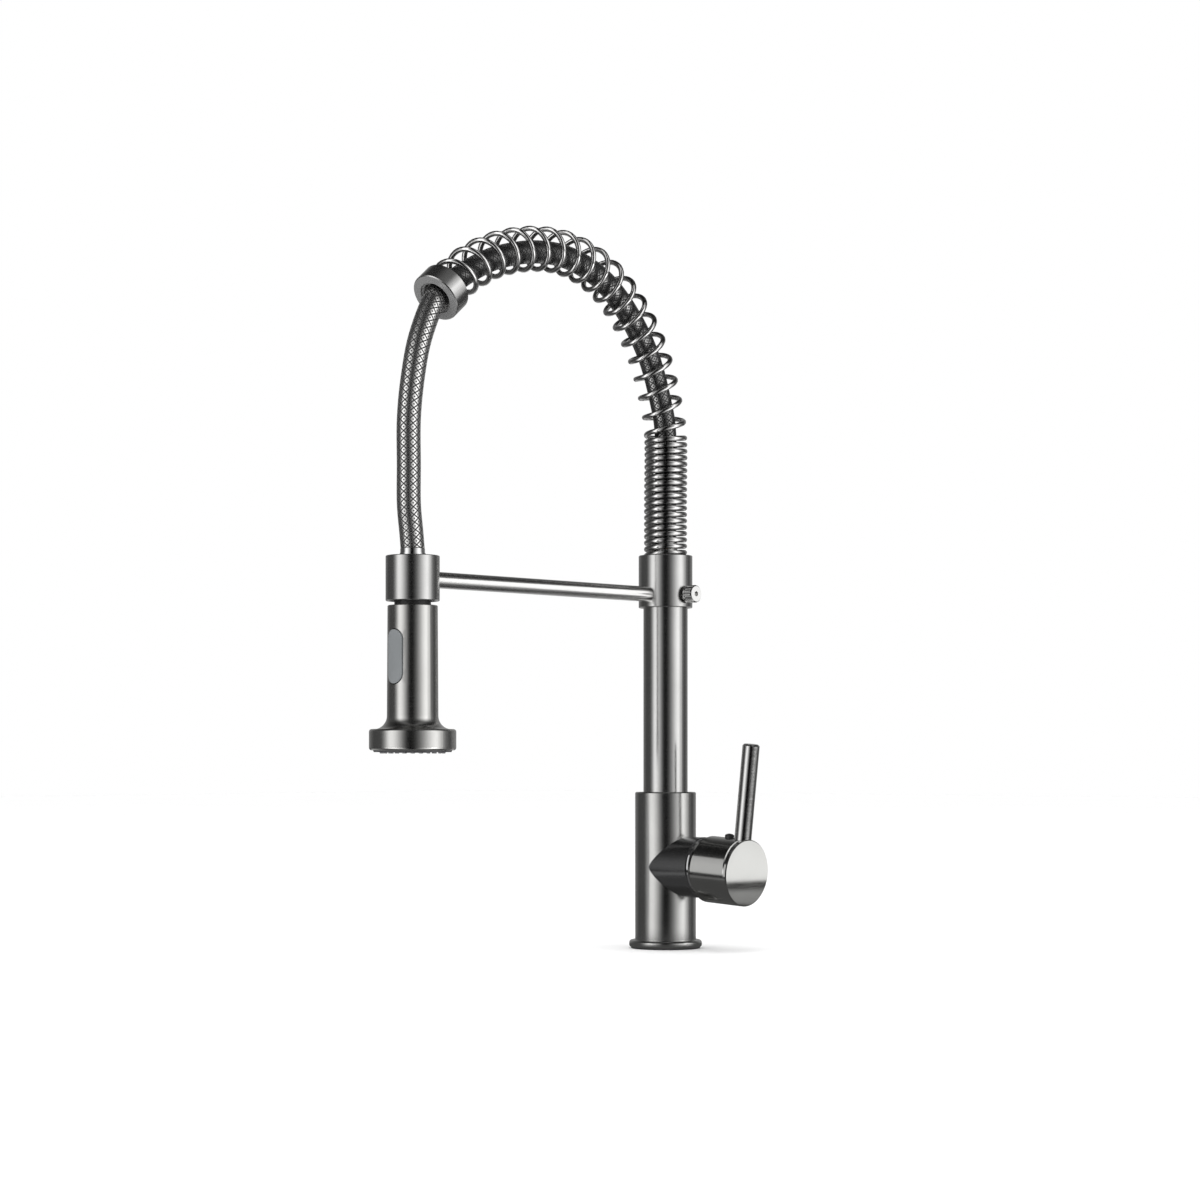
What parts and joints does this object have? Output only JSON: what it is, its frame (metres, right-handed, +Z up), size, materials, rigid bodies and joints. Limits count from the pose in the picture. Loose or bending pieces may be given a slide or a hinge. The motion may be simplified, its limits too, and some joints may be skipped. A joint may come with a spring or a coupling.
{
  "type": "pull down kitchen faucet",
  "caption": "Deck faucet with a slim riser, an open spring neck over a braided hose, a docked pull-down spray head with a wide disc, and a side lever.",
  "frame": {"origin": "centre of the base on the deck plane", "axes": "+Z up along the riser, -Y along the spout towards the spray head, +X along the handle hub"},
  "size_m": [0.1033, 0.273, 0.4986],
  "materials": {
    "satin_nickel": "satin brushed nickel plating",
    "dark_nickel": "dark satin nickel plating, flat face finely turned",
    "polished_chrome": "polished chrome plating",
    "spring_chrome": "polished plated spring wire",
    "hose_braid": "fine stainless braid over a rubber tube",
    "raw_brass": "machined brass",
    "plain_steel": "plain stainless steel",
    "black_rubber": "matte moulded rubber",
    "grey_rubber": "soft matte nozzle rubber",
    "dark_plastic": "matte black plastic",
    "face_plastic": "matte dark face plate",
    "grey_plastic": "smooth grey plastic",
    "white_plastic": "moulded white plastic",
    "blue_plastic": "moulded blue plastic",
    "ceramic_white": "lapped white ceramic"
  },
  "bodies": {
    "base": {"base_gasket": "black_rubber", "base_flange": "satin_nickel", "mounting_shank": "raw_brass", "deck_washer_rubber": "black_rubber", "deck_washer_steel": "plain_steel", "lock_nut": "raw_brass", "valve_body": "satin_nickel", "cartridge_body": "white_plastic", "cartridge_seals": "black_rubber", "fixed_disc": "ceramic_white", "retaining_nut": "raw_brass", "dome_ring": "polished_chrome", "swivel_bushing": "dark_plastic", "riser_set_screw": "plain_steel"},
    "carrier": {"stem_carrier": "white_plastic", "stem_pin": "plain_steel"},
    "disc": {"moving_disc": "ceramic_white", "disc_driver": "blue_plastic"},
    "handle": {"cartridge_stem": "plain_steel", "handle_hub": "dark_nickel", "lever_rod": "satin_nickel", "hub_screw": "plain_steel", "index_plug": "dark_plastic"},
    "riser": {"riser_tube": "satin_nickel", "riser_seals": "black_rubber", "riser_adapter": "raw_brass", "adapter_seal": "black_rubber"},
    "holder": {"holder_collar": "satin_nickel", "holder_arm": "satin_nickel", "dock_ring": "satin_nickel", "dock_liner": "dark_plastic", "spring": "spring_chrome", "hose": "hose_braid", "hose_base_nut": "raw_brass", "hose_base_ferrule": "plain_steel"},
    "clamp": {"clamp_screw": "satin_nickel"},
    "hose_end": {"spring_end_ring": "satin_nickel", "hose_end_ferrule": "polished_chrome", "hose_nipple": "raw_brass"},
    "spray_head": {"spray_cap": "dark_plastic", "spray_body": "satin_nickel", "waterway": "white_plastic", "check_valve": "white_plastic", "button_pin": "plain_steel", "spray_disc": "satin_nickel", "nozzle_plate": "face_plastic", "spray_nozzles": "grey_rubber", "aerator_housing": "face_plastic", "aerator_screen": "plain_steel", "spray_seal": "black_rubber"},
    "rocker": {"mode_button": "grey_plastic"},
    "plunger": {"mode_plunger": "dark_plastic"}
  },
  "joints": [
    {"name": "spout_swivel", "type": "hinge", "parent": "base", "child": "riser", "pos_m": [0, 0, 0.09], "axis": [0, 0, 1], "continuous": true},
    {"name": "holder_turn", "type": "hinge", "parent": "riser", "child": "holder", "pos_m": [0, 0, 0.225], "axis": [0, 0, 1], "range_deg": [-90, 90]},
    {"name": "clamp_turn", "type": "hinge", "parent": "holder", "child": "clamp", "pos_m": [0.0228, 0, 0.223], "axis": [1, 0, 0], "continuous": true},
    {"name": "spray_pull", "type": "slide", "parent": "holder", "child": "hose_end", "axis": [0, 0, -1], "range_m": [0, 0.1], "stiffness_N_per_m": 60, "springref_m": -0.08, "deforming": ["spring", "hose"]},
    {"name": "spray_spin", "type": "hinge", "parent": "hose_end", "child": "spray_head", "pos_m": [0, -0.22, 0.205], "axis": [0, 0, 1], "continuous": true},
    {"name": "mode_rock", "type": "hinge", "parent": "spray_head", "child": "rocker", "pos_m": [0, -0.2305, 0.1779], "axis": [1, 0, 0], "range_deg": [-4, 4]},
    {"name": "plunger_slide", "type": "slide", "parent": "spray_head", "child": "plunger", "axis": [0, 1, 0], "range_m": [-0.0008, 0.0008]},
    {"name": "temperature", "type": "hinge", "parent": "base", "child": "carrier", "pos_m": [0.025, 0, 0.0515], "axis": [1, 0, 0], "range_deg": [-45, 45]},
    {"name": "flow_tilt", "type": "hinge", "parent": "carrier", "child": "handle", "pos_m": [0.025, 0, 0.0515], "axis": [0, 1, 0], "range_deg": [-3.5, 21.5]},
    {"name": "disc_slide", "type": "slide", "parent": "carrier", "child": "disc", "axis": [0, 0, 1], "range_m": [-0.00054, 0.0033]}
  ],
  "couplings": [
    {"joint": "plunger_slide", "follows": "mode_rock", "m_per_rad": 0.0112},
    {"joint": "disc_slide", "follows": "flow_tilt", "m_per_rad": 0.0087}
  ]
}
